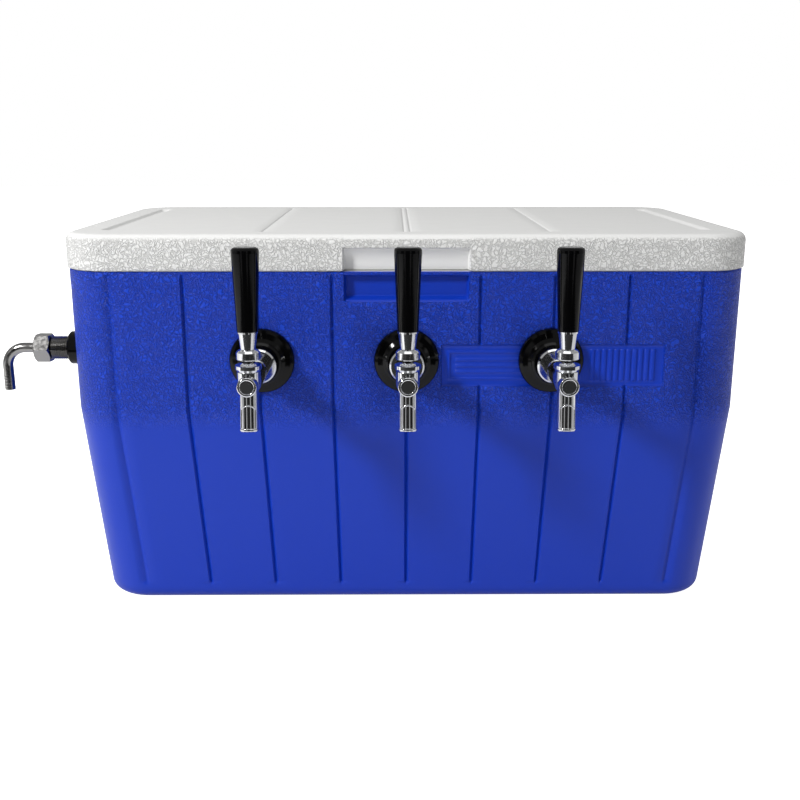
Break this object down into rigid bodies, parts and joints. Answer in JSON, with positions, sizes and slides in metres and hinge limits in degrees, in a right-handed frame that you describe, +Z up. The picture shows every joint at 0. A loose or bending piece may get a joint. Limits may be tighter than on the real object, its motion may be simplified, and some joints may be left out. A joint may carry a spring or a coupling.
{
  "type": "three-tap jockey box",
  "caption": "Insulated chest with a hinged lid, lever beer taps on its front, cooling coils inside and a beer inlet with an elbow tailpiece on its left end.",
  "frame": {"origin": "centre of the base, on the surface that the chest stands on", "axes": "+X to the right seen from the tap side, +Y to the back, +Z up"},
  "size_m": [0.7516, 0.495, 0.38],
  "materials": {
    "blue_shell": "satin moulded",
    "grey_lid": "satin, leather grain on the sides",
    "liner_white": "smooth",
    "foam": "cellular, unseen",
    "black_plastic": "gloss",
    "chrome": "polished",
    "stainless": "satin drawn",
    "brass": "turned",
    "rubber": "matt",
    "white_plastic": "satin"
  },
  "bodies": {
    "cooler": {"outer_shell": "blue_shell", "insulation_foam": "foam", "inner_liner": "liner_white", "hinge_leaves_body": "stainless", "hinge_pins": "stainless", "hinge_screws_body": "stainless", "drain_spout": "white_plastic", "drain_nut": "white_plastic", "tap_flange_left": "black_plastic", "tap_flange_centre": "black_plastic", "tap_flange_right": "black_plastic", "shank_left": "stainless", "shank_centre": "stainless", "shank_right": "stainless", "coupling_nut_left": "chrome", "coupling_nut_centre": "chrome", "coupling_nut_right": "chrome", "faucet_body_left": "chrome", "faucet_body_centre": "chrome", "faucet_body_right": "chrome", "faucet_bonnet_left": "chrome", "faucet_bonnet_centre": "chrome", "faucet_bonnet_right": "chrome", "shank_washers": "stainless", "shank_nuts": "brass", "coil_nuts": "brass", "coil_left": "stainless", "coil_centre": "stainless", "coil_right": "stainless", "manifold": "stainless", "manifold_nuts": "brass", "inlet_shank": "stainless", "inlet_flange": "black_plastic", "inlet_lock_nut": "stainless", "inlet_beer_nut": "stainless", "inlet_elbow": "stainless"},
    "lid": {"lid_shell": "grey_lid", "lid_foam": "foam", "lid_liner": "liner_white", "hinge_leaves_lid": "stainless", "hinge_screws_lid": "stainless"},
    "tap_lever_left": {"lever_left": "stainless", "lever_collar_left": "chrome", "handle_ferrule_left": "chrome", "tap_handle_left": "black_plastic"},
    "tap_shaft_left": {"faucet_shaft_left": "chrome", "shaft_seal_left": "rubber"},
    "tap_lever_centre": {"lever_centre": "stainless", "lever_collar_centre": "chrome", "handle_ferrule_centre": "chrome", "tap_handle_centre": "black_plastic"},
    "tap_shaft_centre": {"faucet_shaft_centre": "chrome", "shaft_seal_centre": "rubber"},
    "tap_lever_right": {"lever_right": "stainless", "lever_collar_right": "chrome", "handle_ferrule_right": "chrome", "tap_handle_right": "black_plastic"},
    "tap_shaft_right": {"faucet_shaft_right": "chrome", "shaft_seal_right": "rubber"},
    "plug": {"drain_plug": "white_plastic"}
  },
  "joints": [
    {"name": "lid_hinge", "type": "hinge", "parent": "cooler", "child": "lid", "pos_m": [0, 0.193, 0.345], "axis": [-1, 0, 0], "range_deg": [0, 100]},
    {"name": "lever_left_pull", "type": "hinge", "parent": "cooler", "child": "tap_lever_left", "pos_m": [-0.14, -0.2795, 0.2705], "axis": [1, 0, 0], "range_deg": [0, 25]},
    {"name": "shaft_left_slide", "type": "slide", "parent": "cooler", "child": "tap_shaft_left", "axis": [0, 1, 0], "range_m": [0, 0.00512]},
    {"name": "lever_centre_pull", "type": "hinge", "parent": "cooler", "child": "tap_lever_centre", "pos_m": [0, -0.2795, 0.2705], "axis": [1, 0, 0], "range_deg": [0, 25]},
    {"name": "shaft_centre_slide", "type": "slide", "parent": "cooler", "child": "tap_shaft_centre", "axis": [0, 1, 0], "range_m": [0, 0.00512]},
    {"name": "lever_right_pull", "type": "hinge", "parent": "cooler", "child": "tap_lever_right", "pos_m": [0.14, -0.2795, 0.2705], "axis": [1, 0, 0], "range_deg": [0, 25]},
    {"name": "shaft_right_slide", "type": "slide", "parent": "cooler", "child": "tap_shaft_right", "axis": [0, 1, 0], "range_m": [0, 0.00512]},
    {"name": "drain_plug_pull", "type": "slide", "parent": "cooler", "child": "plug", "axis": [1, 0, 0], "range_m": [0, 0.02]}
  ],
  "couplings": [
    {"joint": "shaft_left_slide", "follows": "lever_left_pull", "m_per_rad": 0.0117},
    {"joint": "shaft_centre_slide", "follows": "lever_centre_pull", "m_per_rad": 0.0117},
    {"joint": "shaft_right_slide", "follows": "lever_right_pull", "m_per_rad": 0.0117}
  ]
}
